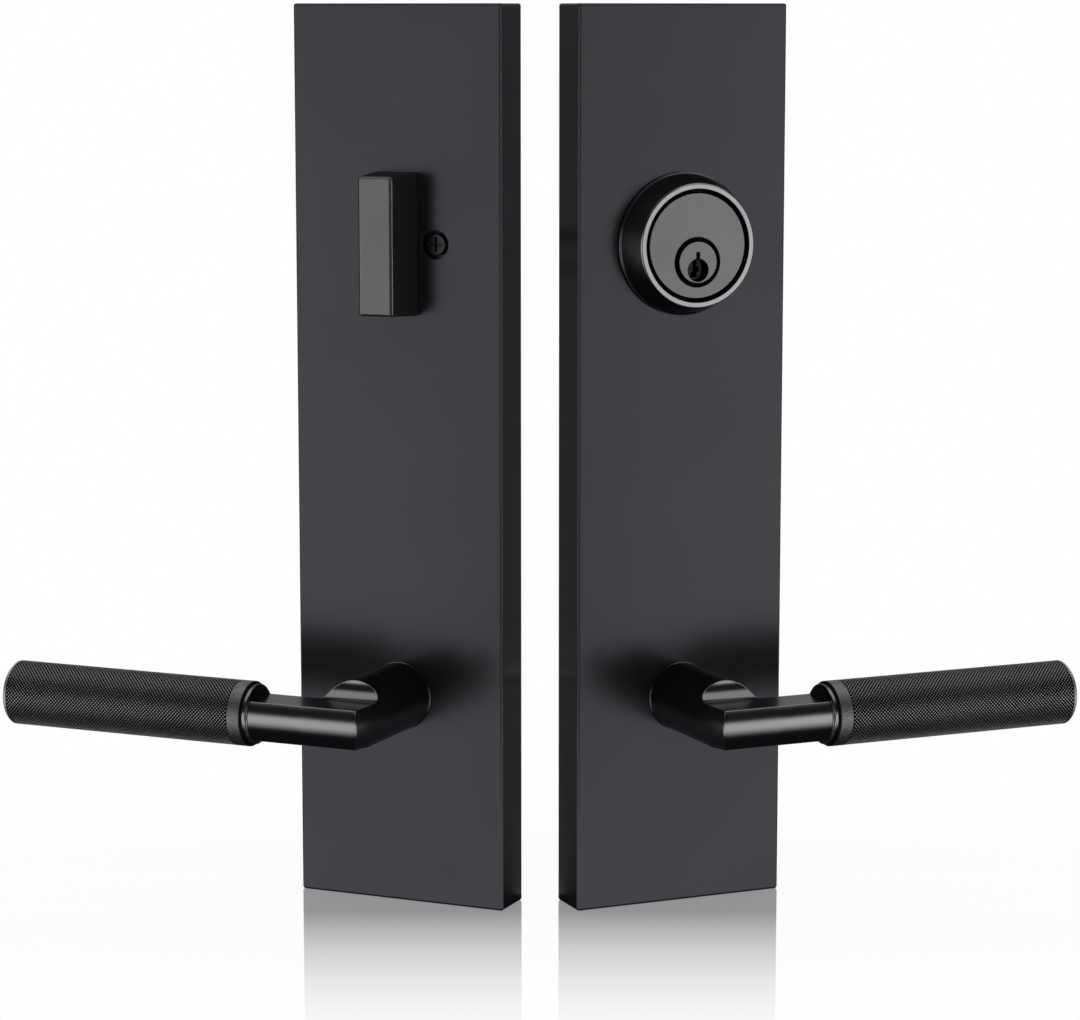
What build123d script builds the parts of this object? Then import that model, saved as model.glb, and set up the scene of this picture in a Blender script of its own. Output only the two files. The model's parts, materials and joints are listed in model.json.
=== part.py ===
from build123d import *
from math import cos, radians, sin, sqrt
import os

# Two long flat plates of an entry door set, stood side by side and splayed.
# Each half is modelled in its own frame: X to the right of its face, Y from the
# face into the door, Z up, with the bottom edge of the face at the origin.

os.makedirs("parts", exist_ok=True)

# How the two halves stand
splay_angle = 23.2
inner_edge_gap = 23.3

# Plates
plate_width = 69.85
plate_height = 279.4
plate_depth = 14.8
face_wall = 3.0
rim_wall = 2.5
plate_bevel = 0.6
corner_round = 0.8
rib_thickness = 1.6
rib_depth = 4.0
seat_gap = 0.3
slip = 0.1

# Bored holes in the door
lever_height = 65.7
bore_spacing = 141.0
lock_height = lever_height + bore_spacing

# Lever: round shank, neck with a flat on top, turned grip
shank_radius = 10.6
shank_nose_radius = 9.6
shank_straight = 24.0
lever_offset = 42.0
neck_radius = 8.2
flat_height = 5.1
belly_height = 8.2
scoop_start = 31.0
scoop_radius = 5.5
belly_scoop_radius = 3.0
shoulder_radius = 9.2
shoulder_start = 27.4
shoulder_length = 1.2
tenon_radius = 5.9
tenon_length = 30.0
grip_radius = 10.0
knurl_relief = 0.12
grip_length = 83.7
grip_inner_band = 3.2
grip_outer_band = 1.2
grip_inner_bevel = 0.6
grip_outer_bevel = 0.5
grip_bore_spare = 3.0
grub_radius = 2.0
grub_from_end = 12.0
grub_key = 2.0

# Lever bearing and its clip
ring_radius = 10.8
ring_height = 0.8
ring_bevel = 0.3
bush_radius = 9.8
bush_length = 5.0
journal_radius = 8.0
running_gap = 0.05
boss_wall = 1.8
clip_thickness = 1.0
clip_groove_depth = 0.8
clip_height = 1.9
clip_mouth = 8.0
clip_land = 0.7

# Return spring cassette
cassette_radius = 14.4
cassette_wall = 1.1
cassette_depth = 9.4
hub_radius = 10.3
hub_thickness = 3.6
hub_lug_thickness = 1.0
hub_lug_reach = 12.9
hub_lug_width = 4.6
tail_round = 7.8
tail_square = 12.4
spindle_square = 8.0
socket_depth = 18.0
spring_wire = 1.3
spring_mean_radius = 11.7
spring_turns = 2.25
spring_leg_gap = 0.3
spring_steps = 20
spring_pitch = 1.4
stop_block_angle = 73.0
ear_radius = 3.2
ear_reach = 18.4
ear_thickness = 1.6
ear_seat = 3.0
small_screw_radius = 1.5
small_head_radius = 2.7
small_head_height = 1.6
spindle_reach = 60.0

# Through fixings at the lever
post_spacing = 39.0
post_radius = 3.5
post_spigot = 3.0
post_boss_radius = 4.4
post_boss_height = 5.0
post_reach = 36.0
bolt_radius = 2.08
bolt_neck_radius = 1.9
bolt_neck_spare = 1.0
tapped_radius = 1.75
bolt_head_radius = 3.5
bolt_head_height = 2.0
bolt_reach = 26.0
backplate_thickness = 2.0
backplate_width = 60.0
backplate_height = 104.0
backplate_post_radius = 3.0
backplate_corner = 6.0

# Thumb turn
turn_width = 11.1
turn_height = 42.1
turn_root_width = 15.0
turn_root_height = 43.8
turn_front = 15.6
turn_gap = 0.5
turn_bevel = 0.6
turn_stem_radius = 6.0
turn_bush_radius = 7.3
turn_tail_radius = 5.2
turn_tail_reach = 21.0
blade_slot_depth = 9.0
turn_screw_circle = 12.85
hidden_screw_angle = 242.0
turn_screw_reach = 34.0
screw_head_radius = 3.4
screw_head_height = 2.2
screw_recess_radius = 4.4
screw_sink = 0.3
cross_width = 0.9
cross_length = 4.4
cross_depth = 1.3

# Key cylinder
barrel_radius = 15.2
barrel_reach = 22.0
disc_overhang = 0.95
disc_sink = 0.45
disc_gap = 1.1
collar_rim = 1.7
collar_flare = 2.95
collar_band = 1.3
collar_step = 0.4
collar_height = 10.65
collar_bevel = 0.3
collar_lip = 4.2
spigot_length = 2.4
plug_radius = 6.25
plug_drop = 5.0
plug_proud = 0.5
plug_groove_gap = 1.3
plug_groove_depth = 2.0
plug_tail = 2.6
recess_radius = 3.5
recess_drop = 2.4
recess_depth = 2.5
keyway_width = 1.3
keyway_top = 3.1
keyway_bottom = 4.6
keyway_ward = 0.7
keyway_reach = 29.0
pin_count = 5
pin_pitch = 4.0
first_pin = 9.7
pin_radius = 1.45
pin_clearance = 0.05
key_pin_length = 5.2
key_pin_tip = 0.8
driver_length = 4.4
shear_gap = 0.08
pin_cover_width = 4.4
pin_cover_thickness = 1.2
pin_spring_wire = 0.36
pin_spring_turns = 4
pin_spring_steps = 10
blade_width = 6.4
blade_thickness = 1.8
blade_root = 3.0
blade_reach = 58.0

# Worked out from the values above
post_x = post_spacing / 2
plug_height = lock_height - plug_drop
disc_radius = barrel_radius + disc_overhang
disc_front = disc_sink - collar_height
collar_bore = disc_radius + disc_gap
collar_front_radius = collar_bore + collar_rim
collar_base_radius = collar_front_radius + collar_flare
plug_groove_radius = plug_radius + plug_groove_gap
grip_start = shoulder_start + shoulder_length
clip_seat = bush_length + seat_gap
journal_end = clip_seat + clip_thickness + clip_land
hub_front = journal_end + seat_gap
hub_back = hub_front + hub_thickness
spring_start = bush_length + seat_gap + spring_wire / 2
tail_end = face_wall + cassette_depth


def turned(*outline):
    """Solid turned about Y from an outline of (radius, depth) points."""
    return revolve(make_face(Polyline(*outline, close=True)), Axis.Y)


def rod(radius, front, back):
    """Plain round bar along Y."""
    return turned((0, front), (radius, front), (radius, back), (0, back))


def tube(inner, outer, front, back):
    """Plain round sleeve along Y."""
    return turned((inner, front), (outer, front), (outer, back), (inner, back))


def slab(width, height, front, back):
    """Rectangular block centred on X and Z, from one depth to another."""
    return Pos(0, (front + back) / 2, 0) * Box(width, back - front, height)


def cross_recess(front):
    """Cutter for a cross-shaped driver recess that opens towards the front."""
    arm = slab(cross_length, cross_width, front, front + cross_depth)
    return arm + Rot(Y=90) * arm


def screw_spots(side):
    """Spots of the two through screws round the lock's axis: one beside the turn, one behind it."""
    angles = (0, radians(hidden_screw_angle))
    return [(side * turn_screw_circle * cos(angle), turn_screw_circle * sin(angle)) for angle in angles]


def snap_ring(inner, front):
    """Open spring clip that sits in a groove of the given inner radius."""
    ring = tube(inner, inner + clip_height, front, front + clip_thickness)
    mouth = Pos(0, 0, -inner - clip_height) * slab(clip_mouth, clip_height * 4, front - 1, front + clip_thickness + 1)
    return ring - mouth


# Plates
def plate_blank():
    """Hollow plate, open at the back, with a fine bevel round its face."""
    block = Box(plate_width, plate_depth, plate_height, align=(Align.CENTER, Align.MIN, Align.MIN))
    block = fillet(block.edges().filter_by(Axis.Y), corner_round)
    block = chamfer(block.faces().sort_by(Axis.Y)[0].edges(), plate_bevel)
    hollow = Pos(0, face_wall, rim_wall) * Box(
        plate_width - 2 * rim_wall,
        plate_depth,
        plate_height - 2 * rim_wall,
        align=(Align.CENTER, Align.MIN, Align.MIN),
    )
    return block - hollow


def plate_ribs(levels):
    """Cross ribs at the given heights, with a long rib each side of the middle."""
    inner_width = plate_width - 2 * rim_wall
    back = face_wall + rib_depth
    ribs = [Pos(0, 0, z) * slab(inner_width, rib_thickness, face_wall, back) for z in levels]
    rail_x = inner_width / 2 - rim_wall * 2
    rail = slab(rib_thickness, plate_height - 2 * rim_wall, face_wall, back)
    ribs += [Pos(side * rail_x, 0, plate_height / 2) * rail for side in (-1, 1)]
    return ribs


def rib_levels():
    """Heights of the cross ribs, spread between the two bores and the ends."""
    below = lever_height - ear_reach - ear_radius * 2
    above = lever_height + ear_reach + ear_radius * 2
    lock_low = lock_height - collar_base_radius
    lock_high = lock_height + collar_base_radius
    middle = (above + lock_low) / 2
    return [below, above, middle, lock_low, lock_high]


def lever_boss():
    """Boss that carries the lever's bush, with two screw pillars for the cassette."""
    boss = rod(bush_radius + boss_wall, face_wall, bush_length)
    pillars = [Pos(0, 0, side * ear_reach) * rod(ear_radius, face_wall, face_wall + ear_seat) for side in (-1, 1)]
    return [Pos(0, 0, lever_height) * part for part in [boss] + pillars]


def lever_cuts():
    """Bush bore and blind screw holes at the lever."""
    bore = rod(bush_radius + running_gap, -1, plate_depth)
    hole_end = face_wall * 0.6
    holes = [
        Pos(0, 0, side * ear_reach) * rod(small_screw_radius + slip, hole_end, face_wall + ear_seat + 1)
        for side in (-1, 1)
    ]
    return [Pos(0, 0, lever_height) * cut for cut in [bore] + holes]


def outside_plate():
    """Street side plate: collar hole, lever bush bore, two post bosses."""
    shell = plate_blank() + plate_ribs(rib_levels()) + lever_boss()
    for side in (-1, 1):
        spot = Pos(side * post_x, 0, lever_height)
        shell += spot * rod(post_boss_radius, face_wall, face_wall + post_boss_height)
        shell -= spot * rod(post_spigot + running_gap, face_wall, plate_depth)
    shell += Pos(0, 0, lock_height) * rod(collar_bore + slip + boss_wall, face_wall, face_wall + rib_depth)
    shell -= lever_cuts()
    return shell - Pos(0, 0, lock_height) * rod(collar_bore + slip, -1, plate_depth)


def backplate_pillars():
    """Four pillars that the hidden back plate rests on, as (x, height) spots."""
    inset = backplate_post_radius + seat_gap
    x = backplate_width / 2 - inset
    z = backplate_height / 2 - inset
    return [(i * x, lever_height + j * z) for i in (-1, 1) for j in (-1, 1)]


def inside_plate():
    """Room side plate: turn bearing, two sunk screw holes, lever bush bore."""
    shell = plate_blank() + plate_ribs(rib_levels()) + lever_boss()
    seat = plate_depth - backplate_thickness
    for x, z in backplate_pillars():
        shell += Pos(x, 0, z) * rod(backplate_post_radius, face_wall, seat)
    pad = rod(turn_bush_radius + boss_wall, face_wall, bush_length)
    shell += Pos(0, 0, lock_height) * pad
    for x, z in screw_spots(1):
        spot = Pos(x, 0, lock_height + z)
        shell += spot * rod(screw_recess_radius + boss_wall, face_wall, bush_length)
        shell -= spot * rod(screw_recess_radius, -1, screw_sink + screw_head_height)
        shell -= spot * rod(bolt_radius + slip, -1, plate_depth)
    shell -= lever_cuts()
    return shell - Pos(0, 0, lock_height) * rod(turn_bush_radius + running_gap, -1, plate_depth)


# Lever
def shank():
    """Round shank with a nose that draws in gently towards the elbow."""
    nose = -(lever_offset + neck_radius)
    start = -(ring_height + seat_gap)
    lines = [
        Line((0, start), (shank_radius, start)),
        Line((shank_radius, start), (shank_radius, -shank_straight)),
        TangentArc((shank_radius, -shank_straight), (shank_nose_radius, nose), tangent=(0, -1)),
        Line((shank_nose_radius, nose), (0, nose)),
        Line((0, nose), (0, start)),
    ]
    return revolve(make_face(lines), Axis.Y)


def scoop(level, radius, side):
    """Cutter that mills a flat from the neck back to the shank and ends in a cove."""
    deep = lever_offset + 2 * neck_radius
    clear = shank_radius + radius
    lines = [
        Line((-scoop_start, side * clear), (-scoop_start, side * (level + radius))),
        RadiusArc(
            (-scoop_start, side * (level + radius)),
            (-scoop_start - radius, side * level),
            side * radius,
        ),
        Line((-scoop_start - radius, side * level), (-deep, side * level)),
        Line((-deep, side * level), (-deep, side * clear)),
        Line((-deep, side * clear), (-scoop_start, side * clear)),
    ]
    profile = Plane.YZ * make_face(lines)
    length = shoulder_start + 2 * shank_radius
    return Pos(-shoulder_start, 0, 0) * extrude(profile, length)


def along_neck(radius, start, end):
    """Round bar on the neck's axis, between two distances from the lever's axis."""
    bar = Cylinder(radius, end - start, rotation=(0, 90, 0))
    return Pos(-(start + end) / 2, -lever_offset, 0) * bar


def lever_stem():
    """One casting: elbow, shoulder and tenon in front, journal and square tail behind."""
    body = shank()
    front_keep = along_neck(neck_radius, -2 * shank_radius, 2 * shank_radius)
    back_keep = slab(4 * shank_radius, 4 * shank_radius, -lever_offset, 0)
    stem = body & (front_keep + back_keep)
    stem += along_neck(neck_radius, 0, shoulder_start + shoulder_length / 2)
    stem -= scoop(flat_height, scoop_radius, 1)
    stem -= scoop(belly_height, belly_scoop_radius, -1)
    shoulder = along_neck(shoulder_radius, shoulder_start, grip_start)
    shoulder = chamfer(shoulder.edges().filter_by(GeomType.CIRCLE), ring_bevel / 2)
    stem += shoulder
    stem += along_neck(tenon_radius, grip_start, grip_start + tenon_length)
    stem += rod(journal_radius, -(ring_height + seat_gap), journal_end)
    tail = rod(tail_round, journal_end, tail_end) & slab(tail_square, tail_square, journal_end, tail_end)
    stem += tail
    groove = tube(journal_radius - clip_groove_depth, journal_radius + 1, clip_seat - slip, clip_seat + clip_thickness + slip)
    socket = spindle_square + 2 * slip
    return stem - groove - slab(socket, socket, tail_end - socket_depth, tail_end)


def lever_grip():
    """Turned grip with a blind bore, a plain band at each end and a knurled field."""
    end = grip_start + grip_length
    grip = along_neck(grip_radius, grip_start, end)
    inner_edge = grip.edges().sort_by(Axis.X)[-1]
    outer_edge = grip.edges().sort_by(Axis.X)[0]
    grip = chamfer(inner_edge, grip_inner_bevel)
    grip = chamfer(grip.edges().sort_by(Axis.X)[0], grip_outer_bevel)
    field_start = grip_start + grip_inner_band
    field_end = end - grip_outer_band
    field = along_neck(grip_radius + 1, field_start, field_end)
    core = along_neck(grip_radius - knurl_relief, field_start, field_end)
    bore = along_neck(tenon_radius + running_gap, grip_start - 1, grip_start + tenon_length + grip_bore_spare)
    grub_hole = Pos(-(grip_start + grub_from_end), -lever_offset, -grip_radius) * Cylinder(
        grub_radius + running_gap, 2 * (grip_radius - tenon_radius) + 1
    )
    return grip - (field - core) - bore - grub_hole


def grip_grub_screw():
    """Headless screw under the grip, with a square key socket."""
    length = grip_radius - tenon_radius - seat_gap
    screw = Cylinder(grub_radius, length)
    key = Pos(0, 0, -length / 2) * Box(grub_key, grub_key, length)
    middle = -(tenon_radius + seat_gap / 2 + length / 2)
    return Pos(-(grip_start + grub_from_end), -lever_offset, middle) * (screw - key)


def lever_ring():
    """Flanged bush: the thin ring seen at the foot of the shank, and its sleeve."""
    bore = journal_radius + running_gap
    return turned(
        (bore, -ring_height),
        (ring_radius - ring_bevel, -ring_height),
        (ring_radius, -ring_height + ring_bevel),
        (ring_radius, 0),
        (bush_radius, 0),
        (bush_radius, bush_length),
        (bore, bush_length),
    )


def drive_hub():
    """Hub driven by the stem's tail, with a spring lug on top and a stop lug below."""
    hub = rod(hub_radius, hub_front, hub_back)
    lugs = slab(hub_lug_width, 2 * hub_lug_reach, hub_back - hub_lug_thickness, hub_back)
    hub += lugs & rod(hub_lug_reach, hub_front, hub_back)
    bore = tail_square + 2 * slip
    hub -= rod(tail_round + slip, hub_front, hub_back) & slab(bore, bore, hub_front, hub_back)
    notch = spring_wire + 2 * spring_leg_gap
    return hub - Pos(0, 0, spring_mean_radius + hub_lug_reach / 2) * slab(
        notch, hub_lug_reach + notch, hub_front, hub_back
    )


def cassette_housing():
    """Cup over the hub and spring, with stop blocks, a leg notch and two screw ears."""
    inner = cassette_radius - cassette_wall
    floor = tail_end - cassette_wall
    cup = turned(
        (inner, face_wall),
        (cassette_radius, face_wall),
        (cassette_radius, tail_end),
        (tail_round + seat_gap, tail_end),
        (tail_round + seat_gap, floor),
        (inner, floor),
    )
    block_inner = hub_radius + seat_gap
    block_outer = inner + cassette_wall / 2
    block = Pos(0, 0, -(block_inner + block_outer) / 2) * slab(
        hub_lug_width, block_outer - block_inner, hub_back - hub_lug_thickness, floor
    )
    for side in (-1, 1):
        cup += Rot(Y=side * stop_block_angle) * block
        ear = rod(ear_radius, face_wall + ear_seat, face_wall + ear_seat + ear_thickness)
        web = Pos(0, 0, -ear_radius) * slab(
            2 * ear_radius, 2 * ear_radius, face_wall + ear_seat, face_wall + ear_seat + ear_thickness
        )
        hole = rod(small_screw_radius + slip, face_wall, tail_end)
        turn = Rot(Y=90 - side * 90)
        ear_part = Pos(0, 0, ear_reach) * (ear + web)
        cup += turn * (ear_part - rod(cassette_radius - cassette_wall / 2, face_wall, tail_end))
        cup -= turn * Pos(0, 0, ear_reach) * hole
    notch = spring_wire + 2 * spring_leg_gap
    return cup - Pos(-cassette_radius, spring_start, 0) * Box(4 * cassette_wall, notch, notch)


def return_spring():
    """Torsion spring: one leg out through the cup's notch, one leg in the hub's lug."""
    wire = spring_wire / 2
    coil_height = spring_turns * spring_pitch
    turns = Rot(X=-90) * coil(spring_wire, spring_mean_radius, spring_pitch, spring_turns, spring_steps)
    leg_out_length = cassette_radius - spring_mean_radius
    leg_out = Pos(spring_mean_radius + leg_out_length / 2, 0, 0) * Cylinder(wire, leg_out_length, rotation=(0, 90, 0))
    leg_in_length = hub_back - spring_start - coil_height
    leg_in = Pos(0, coil_height + leg_in_length / 2, spring_mean_radius) * Cylinder(
        wire, leg_in_length, rotation=(90, 0, 0)
    )
    return Pos(0, spring_start, 0) * (Rot(Y=180) * (turns + leg_out) + leg_in)


def cassette_screws():
    """Two small screws that hold the cassette to the plate's pillars."""
    seat = face_wall + ear_seat + ear_thickness
    screw = rod(small_screw_radius, face_wall * 0.6 + seat_gap, seat)
    screw += rod(small_head_radius, seat, seat + small_head_height)
    slot = slab(2 * small_head_radius, cross_width, seat + small_head_height / 2, seat + small_head_height + 1)
    screw -= slot
    return [Pos(0, 0, side * ear_reach) * screw for side in (-1, 1)]


def spindle():
    """Square bar that goes through the door to the other lever."""
    front = tail_end - socket_depth + seat_gap
    bar = slab(spindle_square, spindle_square, front, spindle_reach)
    return chamfer(bar.faces().sort_by(Axis.Y)[-1].edges(), ring_bevel)


# Through fixings at the lever
def through_posts():
    """Two tapped posts seated in the outside plate's bosses."""
    seat = face_wall + post_boss_height
    post = rod(post_spigot, face_wall, seat) + rod(post_radius, seat, post_reach)
    post -= rod(tapped_radius, seat, post_reach)
    return [Pos(side * post_x, 0, 0) * post for side in (-1, 1)]


def through_bolts():
    """Two bolts, plain below the head, that are held by the hidden back plate."""
    seat = plate_depth - backplate_thickness
    neck_end = plate_depth + bolt_neck_spare
    bolt = rod(bolt_head_radius, seat - bolt_head_height, seat)
    bolt += rod(bolt_neck_radius, seat, neck_end) + rod(bolt_radius, neck_end, seat + bolt_reach)
    bolt -= cross_recess(seat - bolt_head_height)
    return [Pos(side * post_x, 0, 0) * bolt for side in (-1, 1)]


def backplate():
    """Flat steel plate behind the inside plate, flush with its rim."""
    front = plate_depth - backplate_thickness
    plate = slab(backplate_width, backplate_height, front, plate_depth)
    plate = fillet(plate.edges().filter_by(Axis.Y), backplate_corner / 2)
    plate -= rod(cassette_radius + seat_gap - cassette_wall * 2, front, plate_depth)
    for side in (-1, 1):
        plate -= Pos(side * post_x, 0, 0) * rod(bolt_radius + slip, front, plate_depth)
        plate -= Pos(0, 0, side * ear_reach) * rod(small_head_radius + seat_gap, front, plate_depth)
    return plate


# Thumb turn
def thumb_turn():
    """Rectangular turn that widens to its foot, with a stem, clip groove and slotted tail."""
    root = Pos(0, -turn_gap, 0) * Rot(X=90) * Rectangle(turn_root_width, turn_root_height)
    front = Pos(0, -turn_front, 0) * Rot(X=90) * Rectangle(turn_width, turn_height)
    block = loft([root, front])
    block = chamfer(block.edges(), turn_bevel)
    stem_end = clip_seat + clip_thickness + 2 * seat_gap
    turn = block + rod(turn_stem_radius, -turn_gap - turn_bevel, stem_end)
    turn += rod(turn_tail_radius, stem_end, turn_tail_reach)
    turn -= tube(turn_stem_radius - clip_groove_depth, turn_stem_radius + 1, clip_seat - slip, clip_seat + clip_thickness + slip)
    slot = slab(blade_thickness + 4 * slip, blade_width + 4 * slip, turn_tail_reach - blade_slot_depth, turn_tail_reach)
    return turn - slot


def turn_bush():
    """Plain bearing for the turn's stem, flush with the plate's face."""
    return tube(turn_stem_radius + running_gap, turn_bush_radius, 0, bush_length)


def turn_screws():
    """The two screws at the turn, one in sight and one behind it, which reach the cylinder."""
    front = screw_sink
    neck_end = plate_depth + bolt_neck_spare
    screw = turned(
        (0, front),
        (screw_head_radius - ring_bevel, front),
        (screw_head_radius, front + ring_bevel),
        (screw_head_radius, front + screw_head_height),
        (bolt_neck_radius, front + screw_head_height),
        (bolt_neck_radius, neck_end),
        (bolt_radius, neck_end),
        (bolt_radius, plate_depth + turn_screw_reach),
        (0, plate_depth + turn_screw_reach),
    )
    screw -= cross_recess(front)
    return [Pos(x, 0, z) * screw for x, z in screw_spots(1)]


# Key cylinder
def cylinder_collar():
    """Tapered collar with a banded foot, a flat rim and a lip that the disc clamps."""
    return turned(
        (collar_bore, -collar_height),
        (collar_front_radius - collar_bevel, -collar_height),
        (collar_front_radius, -collar_height + collar_bevel),
        (collar_base_radius - collar_step, -collar_band),
        (collar_base_radius, -collar_band + collar_step / 2),
        (collar_base_radius, 0),
        (collar_bore, 0),
        (collar_bore, spigot_length),
        (barrel_radius + slip, spigot_length),
        (barrel_radius + slip, -collar_lip),
        (collar_bore, -collar_lip),
    )


def pin_spots():
    """Depths of the pin chambers along the barrel."""
    return [disc_front + first_pin + i * pin_pitch for i in range(pin_count)]


def pin_cover_seat():
    """Height above the cylinder's axis where the pin chambers are closed."""
    half = pin_cover_width / 2
    return sqrt(barrel_radius**2 - half**2) - pin_cover_thickness


def coil(wire, mean_radius, pitch, turns, steps):
    """Spring coil about Z from straight runs of six-sided wire, which keeps its faces few."""
    count = round(turns * steps)
    points = [
        Vector(mean_radius, 0, i * pitch / steps).rotate(Axis.Z, i * 360 / steps)
        for i in range(count + 1)
    ]
    path = Polyline(*points)
    section = Plane(points[0], z_dir=points[1] - points[0]) * RegularPolygon(wire / 2, 6)
    return sweep(section, path, transition=Transition.RIGHT)


def upright(radius, low, high, depth):
    """Round bar along Z at a given depth, between two heights."""
    return Pos(0, depth, (low + high) / 2) * Cylinder(radius, high - low)


def cylinder_body():
    """Barrel with its front disc, plug bore, pin chambers and two tapped holes."""
    body = turned(
        (0, disc_front),
        (disc_radius - collar_bevel, disc_front),
        (disc_radius, disc_front + collar_bevel),
        (disc_radius, -collar_lip),
        (barrel_radius, -collar_lip),
        (barrel_radius, barrel_reach),
        (0, barrel_reach),
    )
    axis = Pos(0, 0, -plug_drop)
    body -= axis * rod(plug_radius + running_gap, disc_front - 1, barrel_reach + 1)
    body -= axis * rod(plug_groove_radius, disc_front - 1, disc_front + plug_groove_depth)
    seat = pin_cover_seat()
    spots = pin_spots()
    for depth in spots:
        body -= upright(pin_radius + pin_clearance, 0, seat + 1, depth)
    channel = pin_cover_width / 2 + slip
    cover_front = spots[0] - pin_pitch / 2 - slip
    cover_back = spots[-1] + pin_pitch / 2 + slip
    body -= Pos(0, 0, seat + barrel_radius / 2) * slab(2 * channel, barrel_radius, cover_front, cover_back)
    for x, z in screw_spots(-1):
        body -= Pos(x, 0, z) * rod(tapped_radius, -collar_lip, barrel_reach + 1)
    return body


def pin_cover():
    """Strip that closes the pin chambers, level with the barrel."""
    spots = pin_spots()
    strip = slab(pin_cover_width, barrel_radius, spots[0] - pin_pitch / 2, spots[-1] + pin_pitch / 2)
    strip = Pos(0, 0, pin_cover_seat() + barrel_radius / 2) * strip
    return strip & rod(barrel_radius, spots[0] - pin_pitch, spots[-1] + pin_pitch)


def keyway(front):
    """Cutter for the keyhole: a narrow slot with one ward step on each side."""
    half = keyway_width / 2
    height = keyway_top + keyway_bottom
    slot = Pos(0, 0, (keyway_top - keyway_bottom) / 2) * slab(keyway_width, height, front - 1, front + keyway_reach)
    ward = slab(keyway_width, height / 5, front - 1, front + keyway_reach)
    return slot + Pos(keyway_ward, 0, -keyway_bottom / 2) * ward + Pos(-keyway_ward, 0, -keyway_bottom + half) * ward


def cylinder_plug():
    """Turning plug: sunk round recess, keyway, pin chambers, clip groove and blade slot."""
    front = disc_front - plug_proud
    end = barrel_reach + plug_tail
    plug = rod(plug_radius, front, end)
    plug -= Pos(0, 0, -recess_drop) * rod(recess_radius, front - 1, front + recess_depth)
    plug -= keyway(front)
    low = sqrt((plug_radius - shear_gap) ** 2 - pin_radius**2) - key_pin_length - pin_clearance
    for depth in pin_spots():
        plug -= upright(pin_radius + pin_clearance, low, plug_radius + 1, depth)
    groove_front = barrel_reach + seat_gap
    plug -= tube(plug_radius - clip_groove_depth, plug_radius + 1, groove_front, groove_front + clip_thickness + slip)
    return plug - slab(blade_width + 2 * slip, blade_thickness + 2 * slip, end - blade_root, end + 1)


def key_pins():
    """Lower pins, level with the plug's surface as a fitting key would hold them."""
    top = sqrt((plug_radius - shear_gap) ** 2 - pin_radius**2)
    pin = turned(
        (0, 0),
        (pin_radius - key_pin_tip, 0),
        (pin_radius, key_pin_tip),
        (pin_radius, key_pin_length),
        (0, key_pin_length),
    )
    pin = Rot(X=90) * pin
    return [Pos(0, depth, top - key_pin_length) * pin for depth in pin_spots()]


def driver_pins():
    """Upper pins, just outside the plug's surface."""
    low = plug_radius + running_gap + shear_gap / 2
    return [upright(pin_radius, low, low + driver_length, depth) for depth in pin_spots()]


def pin_springs():
    """Coil springs between the upper pins and the cover strip."""
    low = plug_radius + running_gap + shear_gap / 2 - plug_drop + driver_length
    wire = pin_spring_wire / 2
    height = pin_cover_seat() - low - 2 * wire - 2 * slip
    mean_radius = pin_radius - wire - slip
    spring = coil(pin_spring_wire, mean_radius, height / pin_spring_turns, pin_spring_turns, pin_spring_steps)
    return [Pos(0, depth, low + wire + slip) * spring for depth in pin_spots()]


def tailpiece():
    """Flat blade that turns with the plug and reaches the bolt and the thumb turn."""
    root = barrel_reach + plug_tail - blade_root + slip
    blade = slab(blade_width, blade_thickness, root, blade_reach)
    return chamfer(blade.faces().sort_by(Axis.Y)[-1].edges(), ring_bevel)


# Assembly in each half's own frame
at_lever = Pos(0, 0, lever_height)
at_lock = Pos(0, 0, lock_height)
at_plug = Pos(0, 0, plug_height)


def lever_side(name, flip):
    """Every piece of one lever, pointing left, or right when flipped."""
    pieces = {
        "lever_stem": [lever_stem()],
        "lever_grip": [lever_grip()],
        "grip_screw": [grip_grub_screw()],
        "lever_ring": [lever_ring()],
        "lever_clip": [snap_ring(journal_radius - clip_groove_depth + slip, clip_seat)],
        "drive_hub": [drive_hub()],
        "spring_cassette": [cassette_housing()],
        "return_spring": [return_spring()],
        "cassette_screws": cassette_screws(),
    }
    placed = {}
    for key, solids in pieces.items():
        if flip:
            solids = [mirror(solid, about=Plane.YZ) for solid in solids]
        placed[f"{name}_{key}"] = [at_lever * solid for solid in solids]
    return placed


def inside_half():
    """All pieces of the room side."""
    pieces = lever_side("inside", False)
    pieces["inside_plate"] = [inside_plate()]
    pieces["inside_backplate"] = [at_lever * backplate()]
    pieces["through_bolts"] = [at_lever * bolt for bolt in through_bolts()]
    pieces["thumb_turn"] = [at_lock * thumb_turn()]
    pieces["turn_bush"] = [at_lock * turn_bush()]
    pieces["turn_clip"] = [at_lock * snap_ring(turn_stem_radius - clip_groove_depth + slip, clip_seat)]
    pieces["turn_screws"] = [at_lock * screw for screw in turn_screws()]
    return pieces


def outside_half():
    """All pieces of the street side."""
    pieces = lever_side("outside", True)
    pieces["outside_plate"] = [outside_plate()]
    pieces["outside_spindle"] = [at_lever * spindle()]
    pieces["through_posts"] = [at_lever * post for post in through_posts()]
    pieces["cylinder_collar"] = [at_lock * cylinder_collar()]
    pieces["cylinder_body"] = [at_lock * cylinder_body()]
    pieces["pin_cover"] = [at_lock * pin_cover()]
    pieces["pin_springs"] = [at_lock * coil for coil in pin_springs()]
    pieces["driver_pins"] = [at_plug * pin for pin in driver_pins()]
    pieces["cylinder_plug"] = [at_plug * cylinder_plug()]
    pieces["key_pins"] = [at_plug * pin for pin in key_pins()]
    pieces["plug_clip"] = [at_plug * snap_ring(plug_radius - clip_groove_depth + slip, barrel_reach + seat_gap + slip / 2)]
    pieces["tailpiece"] = [at_plug * tailpiece()]
    return pieces


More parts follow.
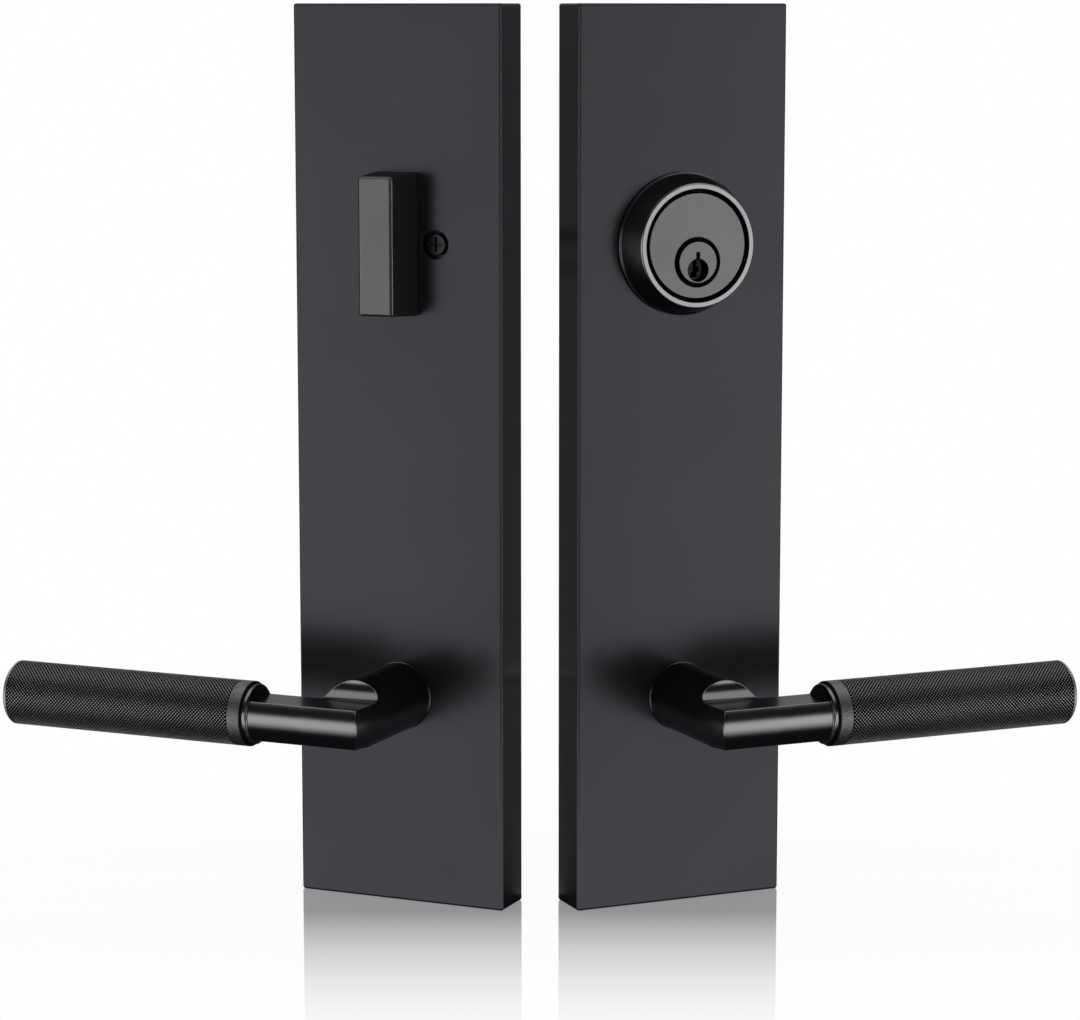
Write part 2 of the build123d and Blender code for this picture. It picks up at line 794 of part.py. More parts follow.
# The two halves stand mirror fashion, inner edges nearest the viewer
half_gap = inner_edge_gap / 2
inside_place = Pos(-half_gap, 0, 0) * Rot(Z=-splay_angle) * Pos(-plate_width / 2, 0, 0)
outside_place = Pos(half_gap, 0, 0) * Rot(Z=splay_angle) * Pos(plate_width / 2, 0, 0)
pieces = {name: [inside_place * solid for solid in solids] for name, solids in inside_half().items()}
pieces |= {name: [outside_place * solid for solid in solids] for name, solids in outside_half().items()}

# The origin is on the ground, below the middle of the whole set
extent = Compound([solid for solids in pieces.values() for solid in solids]).bounding_box()
home = Pos(-extent.center().X, -extent.center().Y, -extent.min.Z)

for name, solids in pieces.items():
    moved = [home * solid for solid in solids]
    export_step(moved[0] if len(moved) == 1 else Compound(moved), f"parts/{name}.step")
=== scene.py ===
import json
import math

import bmesh
import bpy
from mathutils import Matrix, Vector


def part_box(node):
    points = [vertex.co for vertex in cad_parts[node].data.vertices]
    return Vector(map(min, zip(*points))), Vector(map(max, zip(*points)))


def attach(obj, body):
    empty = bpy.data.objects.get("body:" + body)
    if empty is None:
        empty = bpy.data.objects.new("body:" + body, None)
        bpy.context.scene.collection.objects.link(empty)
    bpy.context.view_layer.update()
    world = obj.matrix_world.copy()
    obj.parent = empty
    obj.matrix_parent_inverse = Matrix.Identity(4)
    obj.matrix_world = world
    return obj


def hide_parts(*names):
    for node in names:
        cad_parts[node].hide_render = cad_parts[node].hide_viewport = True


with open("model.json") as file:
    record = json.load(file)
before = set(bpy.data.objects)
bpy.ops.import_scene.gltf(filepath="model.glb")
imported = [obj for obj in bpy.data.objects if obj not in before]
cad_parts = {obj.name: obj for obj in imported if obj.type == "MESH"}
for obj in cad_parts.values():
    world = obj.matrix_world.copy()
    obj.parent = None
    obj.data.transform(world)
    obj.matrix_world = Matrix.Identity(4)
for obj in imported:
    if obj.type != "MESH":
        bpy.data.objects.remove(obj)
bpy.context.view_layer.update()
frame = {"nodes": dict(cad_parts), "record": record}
mm = 0.001

# both halves stand turned outwards, each in its own frame: X across its face, -Y out of it
halves = {
    "inside": {"origin": (-43.7508, -3.3416, 0), "turn": -23.2, "leverSide": -1},
    "outside": {"origin": (43.7508, -3.3416, 0), "turn": 23.2, "leverSide": 1},
}
lockAxis = (0, 0, 206.7)  # a point on each axis, in the outside half's frame
plugAxis = (0, 0, 201.7)
keyhole = (0, 0, 199.3)


def halfFrame(name):
    half = halves[name]
    turn = Matrix.Rotation(math.radians(half["turn"]), 4, "Z")
    return Matrix.Translation(Vector(half["origin"]) * mm) @ turn


def addNode(tree, kind, **values):
    # a value goes to the input of that name, or else to the node's own setting
    node = tree.nodes.new(kind)
    for key, value in values.items():
        if key in node.inputs:
            node.inputs[key].default_value = value
        else:
            setattr(node, key, value)
    return node


def newMaterial(name):
    mat = bpy.data.materials.new(name)
    mat.use_nodes = True
    return mat, mat.node_tree, mat.node_tree.nodes["Principled BSDF"]


def noiseOn(tree, scale, detail, rough):
    coords = addNode(tree, "ShaderNodeTexCoord")
    noise = addNode(tree, "ShaderNodeTexNoise", Scale=scale, Detail=detail, Roughness=rough)
    tree.links.new(coords.outputs["Object"], noise.inputs["Vector"])
    return noise.outputs["Fac"]


def ramp(tree, source, low, high, lowColour, highColour):
    node = addNode(tree, "ShaderNodeValToRGB")
    node.color_ramp.elements[0].position = low
    node.color_ramp.elements[1].position = high
    node.color_ramp.elements[0].color = (*lowColour, 1)
    node.color_ramp.elements[1].color = (*highColour, 1)
    tree.links.new(source, node.inputs["Fac"])
    return node.outputs["Color"]


def linkMap(tree, source, fromMin, fromMax, toMin, toMax, kind="SMOOTHSTEP"):
    node = addNode(tree, "ShaderNodeMapRange", interpolation_type=kind)
    limits = {"From Min": fromMin, "From Max": fromMax, "To Min": toMin, "To Max": toMax}
    for key, value in limits.items():
        node.inputs[key].default_value = value
    tree.links.new(source, node.inputs["Value"])
    return node.outputs["Result"]


def linkMath(tree, operation, first, second):
    node = addNode(tree, "ShaderNodeMath", operation=operation)
    for socket, value in zip(node.inputs, (first, second)):
        if isinstance(value, (int, float)):
            socket.default_value = value
        else:
            tree.links.new(value, socket)
    return node.outputs[0]


def linkMix(tree, factor, first, second):
    node = addNode(tree, "ShaderNodeMixShader")
    for socket, value in zip(node.inputs, (factor, first, second)):
        tree.links.new(value, socket)
    return node.outputs[0]


def linkVector(tree, operation, vector, constant=None):
    node = addNode(tree, "ShaderNodeVectorMath", operation=operation)
    tree.links.new(vector, node.inputs[0])
    if constant is not None:
        node.inputs[1].default_value = constant
    return node.outputs["Value" if operation in ("LENGTH", "DOT_PRODUCT") else "Vector"]


def splitVector(tree, vector):
    node = addNode(tree, "ShaderNodeSeparateXYZ")
    tree.links.new(vector, node.inputs[0])
    return node.outputs["X"], node.outputs["Y"], node.outputs["Z"]


def localPlace(tree):
    # the point in its half's own frame; |X| folds the inside half onto the outside one
    coords = addNode(tree, "ShaderNodeTexCoord")
    x, y, z = splitVector(tree, coords.outputs["Object"])
    folded = addNode(tree, "ShaderNodeCombineXYZ")
    tree.links.new(linkMath(tree, "ABSOLUTE", x, 0), folded.inputs["X"])
    tree.links.new(y, folded.inputs["Y"])
    tree.links.new(z, folded.inputs["Z"])
    back = addNode(tree, "ShaderNodeMapping", vector_type="TEXTURE")
    back.inputs["Location"].default_value = [c * mm for c in halves["outside"]["origin"]]
    back.inputs["Rotation"].default_value = (0, 0, math.radians(halves["outside"]["turn"]))
    tree.links.new(folded.outputs[0], back.inputs["Vector"])
    return back.outputs[0]


def awayFrom(tree, centre, plane):
    # distance in mm from an axis; plane tells which directions count
    offset = linkVector(tree, "SUBTRACT", localPlace(tree), [c * mm for c in centre])
    flat = linkVector(tree, "MULTIPLY", offset, [c / mm for c in plane])
    return linkVector(tree, "LENGTH", flat)


# each gap entry paints shade into a gap or recess by darkening its colour: axis, radius where it is still bright,
# radius where it is dark, how dark
plainCoat = {
    "metal": 1.0, "graze": 1.0, "cloudScale": 50, "roughDrift": 0.01, "driftScale": 90, "grainScale": 4200,
    "grainDepth": 0.01, "edge": 0.15, "wearAndSheen": 0, "paintedGapShade": [],
}
coats = {
    "plateCoat": {"metal": 0.86, "colour": (0.049, 0.0505, 0.0556), "rough": 0.26, "roughDrift": 0.012,
                  "cloudScale": 30, "driftScale": 60, "grainDepth": 0.03, "edge": 0.35, "wearAndSheen": 0.075},
    "leverCoat": {"graze": 0.6, "colour": (0.27, 0.27, 0.274), "rough": 0.2, "cloudScale": 40,
                  "edge": 0.35, "wearAndSheen": 0.8},
    "ringCoat": {"colour": (0.1, 0.1, 0.102), "rough": 0.22, "cloudScale": 40, "edge": 0.2, "wearAndSheen": 0.2},
    "turnCoat": {"metal": 0.9, "graze": 0.4, "colour": (0.118, 0.118, 0.121), "rough": 0.22,
                 "cloudScale": 40, "edge": 0.45, "wearAndSheen": 0.5},
    "collarCoat": {"graze": 0.3, "colour": (0.36, 0.36, 0.363), "rough": 0.22, "edge": 0.3, "wearAndSheen": 0.3,
                   "paintedGapShade": [(lockAxis, 17.4, 17.2, 0.02)]},
    "faceCoat": {"colour": (0.166, 0.166, 0.17), "rough": 0.26,
                 "paintedGapShade": [(lockAxis, 15.9, 16.1, 0.02), (plugAxis, 7.85, 7.6, 0.02)]},
    "plugCoat": {"colour": (0.17, 0.17, 0.171), "rough": 0.26, "paintedGapShade": [(keyhole, 3.6, 3.45, 0.12)]},
    "screwCoat": {"colour": (0.045, 0.045, 0.046), "rough": 0.25, "roughDrift": 0.03, "cloudScale": 80,
                  "driftScale": 150, "grainDepth": 0.02, "wearAndSheen": 0.3},
    "bearingPlastic": {"colour": (0.02, 0.02, 0.021), "rough": 0.5, "roughDrift": 0.03,
                       "grainScale": 3000, "grainDepth": 0.1, "edge": 0.1},
}
coatDetail = {
    "noiseLow": 0.3, "noiseHigh": 0.7, "cloudShare": 0.05, "bevelSamples": 6, "bendStart": 0.99, "bendFull": 0.86,
    "wornGlintBlue": 1.02, "grainHeight": 0.0001,
    "clouds": (4, 0.55), "drift": (3, 0.5), "grain": (2, 0.6),  # each noise's detail and roughness
}


def coatedMetal(name, look):
    # black plating: faint clouds in its colour, corners worn brighter with a painted edge highlight, painted shade
    # inside the gaps
    mat, tree, shader = newMaterial(name)
    low, high, share = coatDetail["noiseLow"], coatDetail["noiseHigh"], coatDetail["cloudShare"]
    darker = [c * (1 - share) for c in look["colour"]]
    lighter = [c * (1 + share) for c in look["colour"]]
    colour = ramp(tree, noiseOn(tree, look["cloudScale"], *coatDetail["clouds"]), low, high, darker, lighter)
    rolled = addNode(tree, "ShaderNodeBevel", samples=coatDetail["bevelSamples"], Radius=look["edge"] * mm)
    # edge wear and painted edge highlight: the colour is brightened where the rounded normal bends away at corners,
    # so the edges glint
    if look["wearAndSheen"]:
        true = addNode(tree, "ShaderNodeNewGeometry")
        bend = linkVector(tree, "DOT_PRODUCT", rolled.outputs["Normal"])
        tree.links.new(true.outputs["Normal"], bend.node.inputs[1])
        wornGlint = linkMap(tree, bend, coatDetail["bendStart"], coatDetail["bendFull"], 0, 1)
        wornGlintBlue = look["wearAndSheen"] * coatDetail["wornGlintBlue"]
        wearAndGlint = addNode(tree, "ShaderNodeMixRGB", Color2=(look["wearAndSheen"], look["wearAndSheen"], wornGlintBlue, 1))
        tree.links.new(wornGlint, wearAndGlint.inputs["Fac"])
        tree.links.new(colour, wearAndGlint.inputs["Color1"])
        colour = wearAndGlint.outputs["Color"]
    # painted shade: the colour is darkened inside the collar bore, the gaps round the disc and the plug, and the
    # keyhole recess
    for axis, bright, dark, left in look["paintedGapShade"]:
        depth = linkMap(tree, awayFrom(tree, axis, (1, 0, 1)), bright, dark, 1, left)
        colour = linkVector(tree, "SCALE", colour)
        tree.links.new(depth, colour.node.inputs["Scale"])
    tree.links.new(colour, shader.inputs["Base Color"])
    drift = noiseOn(tree, look["driftScale"], *coatDetail["drift"])
    smoothest, roughest = look["rough"] - look["roughDrift"], look["rough"] + look["roughDrift"]
    tree.links.new(linkMap(tree, drift, low, high, smoothest, roughest), shader.inputs["Roughness"])
    bump = addNode(tree, "ShaderNodeBump", Strength=look["grainDepth"], Distance=coatDetail["grainHeight"])
    tree.links.new(noiseOn(tree, look["grainScale"], *coatDetail["grain"]), bump.inputs["Height"])
    tree.links.new(rolled.outputs["Normal"], bump.inputs["Normal"])
    tree.links.new(bump.outputs["Normal"], shader.inputs["Normal"])
    shader.inputs["Metallic"].default_value = look["metal"]
    shader.inputs["Specular Tint"].default_value = (look["graze"],) * 3 + (1,)
    return mat


metals = {
    "platedSteel": {"colour": (0.56, 0.57, 0.59), "rough": 0.34, "lineScale": 220, "stretch": (1, 1, 12)},
    "springSteel": {"colour": (0.36, 0.37, 0.4), "rough": 0.3, "lineScale": 300, "stretch": (1, 1, 6)},
    "turnedBrass": {"colour": (0.72, 0.52, 0.22), "rough": 0.28, "lineScale": 260, "stretch": (1, 1, 10)},
}
scratches = {"detail": 5.0, "low": 0.35, "high": 0.65, "darkShare": 0.82, "smoother": 0.06, "rougher": 0.08,
             "bump": 0.25, "height": 0.00005}


def bareMetal(name, look):
    # plain metal with fine scratches along one axis
    mat, tree, shader = newMaterial(name)
    coords = addNode(tree, "ShaderNodeTexCoord")
    stretch = addNode(tree, "ShaderNodeMapping")
    stretch.inputs["Scale"].default_value = look["stretch"]
    lines = addNode(tree, "ShaderNodeTexNoise", Scale=look["lineScale"], Detail=scratches["detail"])
    tree.links.new(coords.outputs["Object"], stretch.inputs["Vector"])
    tree.links.new(stretch.outputs["Vector"], lines.inputs["Vector"])
    darker = [c * scratches["darkShare"] for c in look["colour"]]
    tint = ramp(tree, lines.outputs["Fac"], scratches["low"], scratches["high"], darker, look["colour"])
    tree.links.new(tint, shader.inputs["Base Color"])
    rough = linkMap(tree, lines.outputs["Fac"], 0, 1, look["rough"] - scratches["smoother"],
                    look["rough"] + scratches["rougher"], "LINEAR")
    tree.links.new(rough, shader.inputs["Roughness"])
    bump = addNode(tree, "ShaderNodeBump", Strength=scratches["bump"], Distance=scratches["height"])
    tree.links.new(lines.outputs["Fac"], bump.inputs["Height"])
    tree.links.new(bump.outputs["Normal"], shader.inputs["Normal"])
    shader.inputs["Metallic"].default_value = 1.0
    return mat


grip = {
    "start": 28.6, "length": 83.7, "radius": 10.0, "leverHeight": 65.7, "offset": 42.0,
    "innerBand": 4.6, "outerBand": 1.2, "innerBevel": 0.7, "outerBevel": 0.5, "step": 0.05,
    "boreRadius": 5.95, "boreDepth": 33.0, "coreRadius": 9.45, "sides": 96,
    "around": 108, "along": 138, "valley": 0.4, "tip": 0.23,
    "grubFromEnd": 12.0, "grubRadius": 2.05, "grubDrill": 6.0, "grubSides": 32, "smoothAngle": 28,
}
knurlLook = {
    "tipGlintColour": (0.5, 0.503, 0.52), "rootShadeColour": (0.02, 0.0205, 0.0215), "tipRough": 0.45, "rootRough": 0.5,
    "rootRadius": 9.83, "tipRadius": 9.97, "wearScale": 260, "wearRough": 0.08, "wearAndSheen": (3, 0.55), "spots": (3, 0.7),
    "bandShade": 0.62, "bandSpots": 0.6, "spotScale": 1900, "spotLow": 0.38, "spotHigh": 0.6, "bandBlend": 0.1,
}


def knurledMetal(name, look):
    # worn tips painted bright as glints and roots painted dark as shade in the valleys, told apart by the distance
    # from the grip's axis; the band is mottled
    mat, tree, shader = newMaterial(name)
    reach = awayFrom(tree, (0, -grip["offset"], grip["leverHeight"]), (0, 1, 1))
    height = linkMap(tree, reach, look["rootRadius"], look["tipRadius"], 0, 1)
    along = splitVector(tree, localPlace(tree))[0]
    bandEnd = grip["start"] + grip["innerBand"]
    onBand = linkMap(tree, along, (bandEnd + look["bandBlend"]) * mm, bandEnd * mm, 0, 1)
    spots = linkMap(tree, noiseOn(tree, look["spotScale"], *look["spots"]), look["spotLow"], look["spotHigh"],
                    look["bandShade"] * look["bandSpots"], look["bandShade"])
    missing = linkMath(tree, "MULTIPLY", onBand, linkMath(tree, "SUBTRACT", 1.0, spots))
    height = linkMath(tree, "MULTIPLY", height, linkMath(tree, "SUBTRACT", 1.0, missing))
    # tips painted bright as glints, roots painted dark as shade
    tree.links.new(ramp(tree, height, 0, 1, look["rootShadeColour"], look["tipGlintColour"]), shader.inputs["Base Color"])
    drift = linkMath(tree, "MULTIPLY", noiseOn(tree, look["wearScale"], *look["wearAndSheen"]), look["wearRough"])
    level = linkMap(tree, height, 0, 1, look["rootRough"], look["tipRough"])
    tree.links.new(linkMath(tree, "ADD", drift, level), shader.inputs["Roughness"])
    shader.inputs["Metallic"].default_value = 1.0
    return mat


finishes = {name: coatedMetal(name, {**plainCoat, **look}) for name, look in coats.items()}
finishes.update({name: bareMetal(name, look) for name, look in metals.items()})
finishes["gripCoat"] = knurledMetal("gripCoat", knurlLook)

finishOfSlot = {
    "plate_black": "plateCoat", "lever_black": "leverCoat", "grip_black": "gripCoat", "turn_black": "turnCoat",
    "collar_black": "collarCoat", "cylinder_grey": "faceCoat", "plug_grey": "plugCoat", "screw_black": "screwCoat",
    "plain_steel": "platedSteel", "spring_steel": "springSteel", "pin_brass": "turnedBrass",
    "bearing_plastic": "bearingPlastic",
}
for part in frame["record"]["subparts"]:
    node = frame["nodes"][part["node"]]
    ringed = part["node"].endswith("lever_ring")
    node.data.materials.clear()
    node.data.materials.append(finishes["ringCoat" if ringed else finishOfSlot[part["material_slot"]]])
print("finishes on", len(frame["nodes"]), "nodes")


def editMode(on):
    bpy.ops.object.mode_set(mode="EDIT" if on else "OBJECT")


def pick(obj, kind, test):
    # selects the faces or edges that pass the test, by their place
    bpy.ops.mesh.select_all(action="DESELECT")
    bpy.ops.mesh.select_mode(type=kind)
    work = bmesh.from_edit_mesh(obj.data)
    for item in (work.faces if kind == "FACE" else work.edges):
        if test(item):
            item.select = True
    work.select_flush_mode()
    bmesh.update_edit_mesh(obj.data)


def knurledSleeve():
    # a tube of squares, turned to diamonds, each drawn up to a small flat tip
    length = grip["length"] - grip["innerBand"] - grip["outerBand"]
    bpy.ops.object.select_all(action="DESELECT")
    bpy.ops.mesh.primitive_cylinder_add(vertices=grip["around"], radius=(grip["radius"] - grip["valley"]) * mm,
                                        depth=length * mm, end_fill_type="NOTHING")
    sleeve = bpy.context.object
    editMode(True)
    pick(sleeve, "EDGE", lambda e: abs(e.verts[0].co.z - e.verts[1].co.z) > mm)
    bpy.ops.mesh.subdivide_edgering(number_cuts=grip["along"] - 1, interpolation="LINEAR")
    bpy.ops.mesh.select_all(action="SELECT")
    bpy.ops.mesh.unsubdivide(iterations=1)
    pick(sleeve, "FACE", lambda f: len(f.verts) == 4)
    bpy.ops.mesh.inset(use_individual=True, thickness=grip["tip"] * mm, depth=grip["valley"] * mm)
    bpy.ops.mesh.select_all(action="SELECT")
    bpy.ops.mesh.fill_holes(sides=0)
    bpy.ops.mesh.normals_make_consistent(inside=False)
    bpy.ops.transform.translate(value=(0, 0, (grip["innerBand"] + length / 2) * mm))
    editMode(False)
    return sleeve


def gripCore():
    # plain bands, bevels and the blind bore, drawn out ring by ring: height and radius
    end = grip["length"]
    rings = [
        (grip["boreDepth"], grip["boreRadius"]),
        (0, grip["boreRadius"]),
        (0, grip["radius"] - grip["innerBevel"]),
        (grip["innerBevel"], grip["radius"]),
        (grip["innerBand"], grip["radius"]),
        (grip["innerBand"] + grip["step"], grip["coreRadius"]),
        (end - grip["outerBand"] - grip["step"], grip["coreRadius"]),
        (end - grip["outerBand"], grip["radius"]),
        (end - grip["outerBevel"], grip["radius"]),
        (end, grip["radius"] - grip["outerBevel"]),
    ]
    bpy.ops.object.select_all(action="DESELECT")
    bpy.ops.mesh.primitive_circle_add(vertices=grip["sides"], radius=rings[0][1] * mm, fill_type="NGON",
                                      location=(0, 0, rings[0][0] * mm))
    core = bpy.context.object
    bpy.ops.object.transform_apply(location=True, rotation=True, scale=True)
    editMode(True)
    bpy.ops.mesh.select_all(action="SELECT")
    bpy.ops.mesh.select_mode(type="EDGE")
    for (z0, r0), (z1, r1) in zip(rings, rings[1:]):
        bpy.ops.mesh.extrude_region_move(TRANSFORM_OT_translate={"value": (0, 0, (z1 - z0) * mm)})
        bpy.ops.transform.resize(value=(r1 / r0, r1 / r0, 1), center_override=(0, 0, z1 * mm))
    bpy.ops.mesh.select_all(action="SELECT")
    bpy.ops.mesh.normals_make_consistent(inside=False)
    editMode(False)
    return core


def drillGrub(body):
    # clears the key hole of the set screw underneath
    bpy.ops.object.select_all(action="DESELECT")
    bpy.ops.mesh.primitive_cylinder_add(vertices=grip["grubSides"], radius=grip["grubRadius"] * mm,
                                        depth=grip["grubDrill"] * mm, rotation=(0, math.pi / 2, 0),
                                        location=(-grip["radius"] * mm, 0, grip["grubFromEnd"] * mm))
    drill = bpy.context.object
    cut = body.modifiers.new("grubHole", "BOOLEAN")
    cut.operation = "DIFFERENCE"
    cut.solver = "EXACT"
    cut.object = drill
    bpy.context.view_layer.objects.active = body
    bpy.ops.object.modifier_apply(modifier=cut.name)
    bpy.data.objects.remove(drill, do_unlink=True)


def makeGrip():
    core = gripCore()
    sleeve = knurledSleeve()
    for body in (core, sleeve):
        drillGrub(body)
    bpy.ops.object.select_all(action="DESELECT")
    sleeve.select_set(True)
    core.select_set(True)
    bpy.context.view_layer.objects.active = core
    bpy.ops.object.join()
    core.name = "knurled_grip"
    return core


def placeGrip(body, name):
    # the grip was made standing on Z with its underside towards -X
    side = halves[name]["leverSide"]
    lay = Matrix.Rotation(math.radians(90 * side), 4, "Y")
    under = Matrix.Rotation(math.radians(0 if side < 0 else 180), 4, "Z")
    spot = Matrix.Translation(Vector((side * grip["start"], -grip["offset"], grip["leverHeight"])) * mm)
    body.matrix_world = halfFrame(name) @ spot @ lay @ under
    bpy.ops.object.select_all(action="DESELECT")
    body.select_set(True)
    bpy.context.view_layer.objects.active = body
    bpy.ops.object.transform_apply(location=True, rotation=True, scale=True)
    bpy.ops.object.shade_smooth_by_angle(angle=math.radians(grip["smoothAngle"]))
    body.name = name + "_knurled_grip"
    body.data.materials.clear()
    body.data.materials.append(finishes["gripCoat"])
    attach(body, name + "_lever")
    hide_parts(name + "_lever_grip")


insideGrip = makeGrip()
outsideGrip = insideGrip.copy()
outsideGrip.data = insideGrip.data.copy()
bpy.context.collection.objects.link(outsideGrip)
placeGrip(insideGrip, "inside")
placeGrip(outsideGrip, "outside")
print("knurled grips:", len(insideGrip.data.polygons), "faces each")


# what the metal mirrors: X and Y of a level heading, Z of a direction, and how bright each part is
roomLook = {
    "sideStart": 0.52, "sideFull": 0.79, "sideBack": 0.1, "sideFront": -0.35, "window": 1.3,
    "windowFull": 0.0, "windowTop": 0.3,
    "wallStart": 0.55, "wallFull": 0.98, "backdrop": 0.38, "wallBend": 0.4, "wallTop": 0.8,
    "overheadAim": (0.407, 0.235, 0.883), "overheadStart": 0.8, "overheadFull": 0.94, "overhead": 0.7,
    "surround": 0.015, "fill": 0.8,
}
floorLook = {
    "size": 8.0, "matte": 0.9, "nearMirror": 0.69, "farMirror": 0.03, "fadeLength": 0.1475, "fadePower": 1.94,
    "contactShade": 0.15, "slantStart": 0.27, "slantFull": 0.74, "foot": 1.15, "footFull": 0.08, "footEnd": 0.3,
    "innerCorner": 0.012, "plateSlope": 0.43, "clearStart": -0.003, "clearFull": 0.001,
}
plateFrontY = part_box("inside_plate")[0].y
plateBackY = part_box("inside_plate")[1].y


def roomGlow(tree, vector):
    # two bright sides in front and a white wall behind, by the heading in the plan
    level = linkVector(tree, "NORMALIZE", linkVector(tree, "MULTIPLY", vector, (1, 1, 0)))
    x, y, _ = splitVector(tree, level)
    sideways = linkMap(tree, linkMath(tree, "ABSOLUTE", x, 0), roomLook["sideStart"], roomLook["sideFull"], 0, 1)
    ahead = linkMap(tree, y, roomLook["sideBack"], roomLook["sideFront"], 0, 1)
    front = linkMath(tree, "MULTIPLY", linkMath(tree, "MULTIPLY", sideways, ahead), roomLook["window"])
    back = linkMap(tree, y, roomLook["wallStart"], roomLook["wallFull"], 0, roomLook["backdrop"])
    return front, back


def seenFloor(tree, ahead, behind, matte):
    # what the camera sees: white, with a mirror image that fades away from the object
    white = addNode(tree, "ShaderNodeEmission", Color=(1, 1, 1, 1), Strength=1.0).outputs[0]
    mirror = addNode(tree, "ShaderNodeBsdfGlossy", Color=(1, 1, 1, 1), Roughness=0.0).outputs[0]
    away = linkMath(tree, "MAXIMUM", linkMath(tree, "MAXIMUM", ahead, behind), 0)
    left = linkMath(tree, "SUBTRACT", 1.0, linkMath(tree, "MULTIPLY", away, 1 / floorLook["fadeLength"]))
    fade = linkMath(tree, "POWER", linkMath(tree, "MAXIMUM", left, 0), floorLook["fadePower"])
    span = linkMath(tree, "MULTIPLY", fade, floorLook["nearMirror"] - floorLook["farMirror"])
    shadowed = linkMix(tree, linkMath(tree, "MULTIPLY", fade, floorLook["contactShade"]), white, matte)
    return linkMix(tree, linkMath(tree, "ADD", span, floorLook["farMirror"]), shadowed, mirror)


def mirroredFloor(tree, place, ahead):
    # what a reflection sees: a floor that glows as painted light, brighter at a low slant and at the plates' foot,
    # with painted shade under the object
    front, back = roomGlow(tree, place)
    slant = addNode(tree, "ShaderNodeLayerWeight", Blend=0.5)
    slantGlow = linkMap(tree, slant.outputs["Facing"], floorLook["slantStart"], floorLook["slantFull"], 0, 1)
    width = linkMath(tree, "ABSOLUTE", splitVector(tree, place)[0], 0)
    aside = linkMath(tree, "MULTIPLY", linkMath(tree, "SUBTRACT", width, floorLook["innerCorner"]),
                     floorLook["plateSlope"])
    clear = linkMath(tree, "ADD", ahead, aside)  # how far in front of the turned plates
    # painted shade under the object, and a painted bright strip along the plates' foot
    near = linkMap(tree, ahead, floorLook["footEnd"], floorLook["footFull"], 0, 1)
    foot = linkMap(tree, clear, floorLook["clearStart"], floorLook["clearFull"], 0, floorLook["foot"])
    front = linkMath(tree, "MULTIPLY", front, linkMath(tree, "SUBTRACT", 1.0, near))
    front = linkMath(tree, "ADD", front, linkMath(tree, "MULTIPLY", foot, near))
    level = linkMath(tree, "ADD", linkMath(tree, "MULTIPLY", front, slantGlow), back)
    glow = addNode(tree, "ShaderNodeEmission", Color=(1, 1, 1, 1))
    tree.links.new(linkMath(tree, "ADD", level, roomLook["surround"]), glow.inputs["Strength"])
    return glow.outputs[0]


def whiteFloor():
    # white to the camera, a painted glow with painted shade under the object to the metal, matte to the lamps
    bpy.ops.object.select_all(action="DESELECT")
    bpy.ops.mesh.primitive_plane_add(size=floorLook["size"], location=(0, 0, 0))
    floor = bpy.context.object
    floor.name = "floor"
    mat = bpy.data.materials.new("paleFloor")
    mat.use_nodes = True
    tree = mat.node_tree
    tree.nodes.clear()
    out = addNode(tree, "ShaderNodeOutputMaterial")
    matte = addNode(tree, "ShaderNodeBsdfDiffuse", Color=(floorLook["matte"],) * 3 + (1,)).outputs[0]
    rays = addNode(tree, "ShaderNodeLightPath")
    place = addNode(tree, "ShaderNodeTexCoord").outputs["Object"]
    y = splitVector(tree, place)[1]
    ahead = linkMath(tree, "SUBTRACT", plateFrontY, y)
    behind = linkMath(tree, "SUBTRACT", y, plateBackY)
    shiny = linkMath(tree, "MAXIMUM", rays.outputs["Is Glossy Ray"], rays.outputs["Is Transmission Ray"])
    both = linkMix(tree, shiny, matte, mirroredFloor(tree, place, ahead))
    both = linkMix(tree, rays.outputs["Is Camera Ray"], both, seenFloor(tree, ahead, behind, matte))
    tree.links.new(both, out.inputs["Surface"])
    floor.data.materials.append(mat)


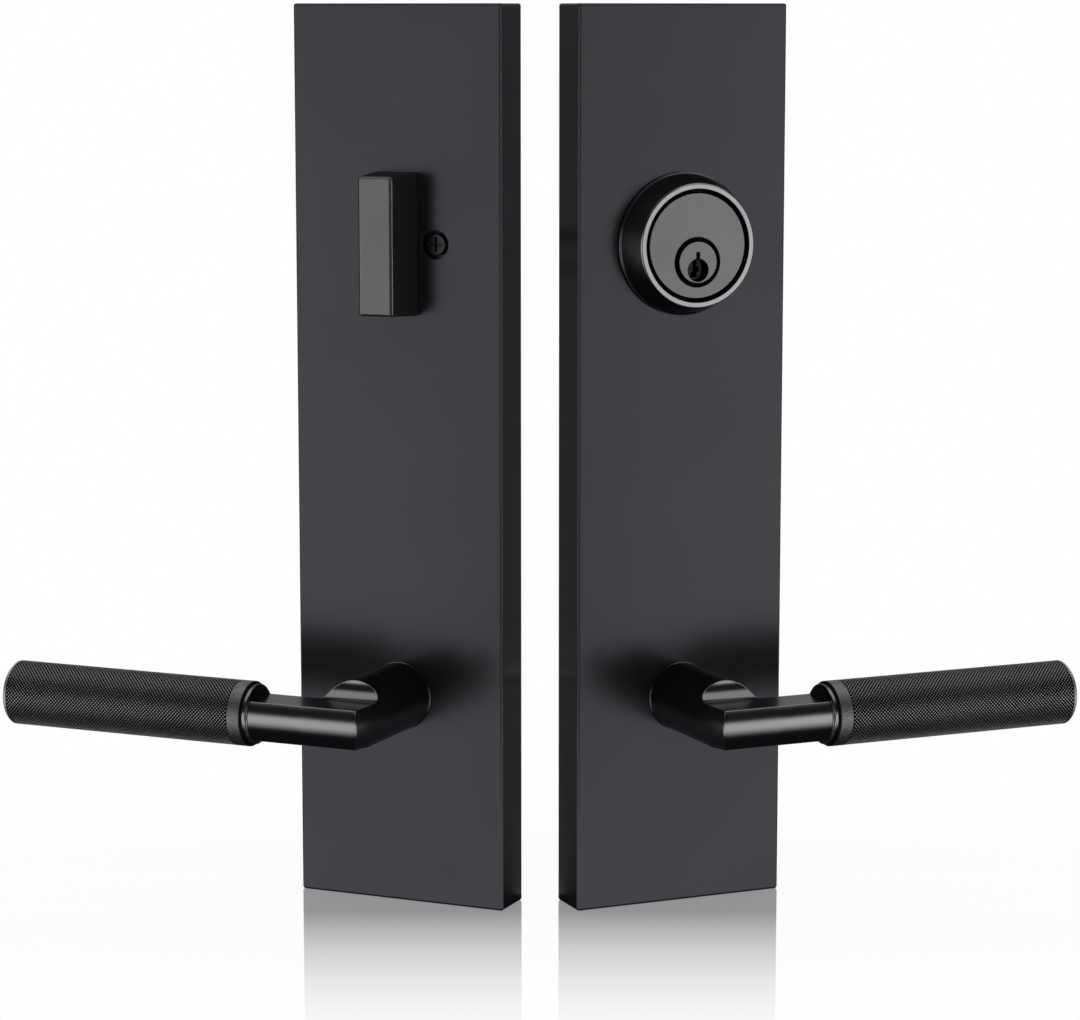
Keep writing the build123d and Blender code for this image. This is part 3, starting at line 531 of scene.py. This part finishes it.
def whiteWorld():
    # white to the camera; a reflection sees the low bright sides in front and the white wall behind
    world = bpy.data.worlds.new("studio")
    bpy.context.scene.world = world
    world.use_nodes = True
    tree = world.node_tree
    tree.nodes.clear()
    out = addNode(tree, "ShaderNodeOutputWorld")
    heading = addNode(tree, "ShaderNodeTexCoord").outputs["Generated"]
    z = splitVector(tree, heading)[2]
    front, back = roomGlow(tree, heading)
    low = linkMap(tree, z, roomLook["windowFull"], roomLook["windowTop"], 1, 0)
    tall = linkMap(tree, z, roomLook["wallBend"], roomLook["wallTop"], 1, 0)
    level = linkMath(tree, "ADD", linkMath(tree, "MULTIPLY", front, low), linkMath(tree, "MULTIPLY", back, tall))
    x, y, z = splitVector(tree, heading)
    aimX, aimY, aimZ = roomLook["overheadAim"]  # one soft light high at each side, a little behind
    lean = linkMath(tree, "ADD", linkMath(tree, "MULTIPLY", y, aimY), linkMath(tree, "MULTIPLY", z, aimZ))
    lean = linkMath(tree, "ADD", linkMath(tree, "MULTIPLY", linkMath(tree, "ABSOLUTE", x, 0), aimX), lean)
    overhead = linkMap(tree, lean, roomLook["overheadStart"], roomLook["overheadFull"], 0, roomLook["overhead"])
    level = linkMath(tree, "ADD", level, overhead)
    room = addNode(tree, "ShaderNodeBackground", Color=(1, 1, 1, 1))
    tree.links.new(linkMath(tree, "ADD", level, roomLook["surround"]), room.inputs["Strength"])
    fill = addNode(tree, "ShaderNodeBackground", Color=(1, 1, 1, 1), Strength=roomLook["fill"])
    plain = addNode(tree, "ShaderNodeBackground", Color=(1, 1, 1, 1), Strength=1.0)
    rays = addNode(tree, "ShaderNodeLightPath")
    shiny = linkMath(tree, "MAXIMUM", rays.outputs["Is Glossy Ray"], rays.outputs["Is Transmission Ray"])
    both = linkMix(tree, shiny, fill.outputs[0], room.outputs[0])
    direct = linkMath(tree, "MAXIMUM", rays.outputs["Is Camera Ray"], rays.outputs["Is Singular Ray"])
    both = linkMix(tree, direct, both, plain.outputs[0])
    tree.links.new(both, out.inputs["Surface"])


lamps = {
    "leftPanel": {"azimuth": -46.5, "distance": 1.3, "width": 1.0, "height": 0.8, "above": 0.05, "strength": 0.8},
    "rightPanel": {"azimuth": 46.5, "distance": 1.3, "width": 1.0, "height": 0.8, "above": 0.05, "strength": 0.8},
}


def studioPanels():
    # two large softboxes for the matte surfaces; the coats mirror the world's bright sides instead
    for name, look in lamps.items():
        angle = math.radians(look["azimuth"])
        data = bpy.data.lights.new(name, "AREA")
        data.shape = "RECTANGLE"
        data.size = look["width"]
        data.size_y = look["height"]
        data.energy = look["strength"] * math.pi * look["width"] * look["height"]
        lamp = bpy.data.objects.new(name, data)
        lamp.location = (look["distance"] * math.sin(angle), -look["distance"] * math.cos(angle),
                         look["height"] / 2 + look["above"])
        lamp.rotation_euler = (math.pi / 2, 0, -angle)
        lamp.visible_camera = False
        lamp.visible_glossy = False
        bpy.context.collection.objects.link(lamp)


cameraLook = {"back": 1004.0, "height": 277.6, "pitch": 8.57, "lens": 110.76, "sensor": 36}


def photoCamera():
    data = bpy.data.cameras.new("photoCamera")
    data.sensor_width = cameraLook["sensor"]
    data.lens = cameraLook["lens"]
    camera = bpy.data.objects.new("photoCamera", data)
    camera.location = (0, plateFrontY - cameraLook["back"] * mm, cameraLook["height"] * mm)
    camera.rotation_euler = (math.radians(90 - cameraLook["pitch"]), 0, 0)
    bpy.context.collection.objects.link(camera)
    bpy.context.scene.camera = camera


whiteFloor()
whiteWorld()
studioPanels()
photoCamera()
bpy.context.scene.view_settings.view_transform = "Standard"
print("floor, world, panels and camera ready")
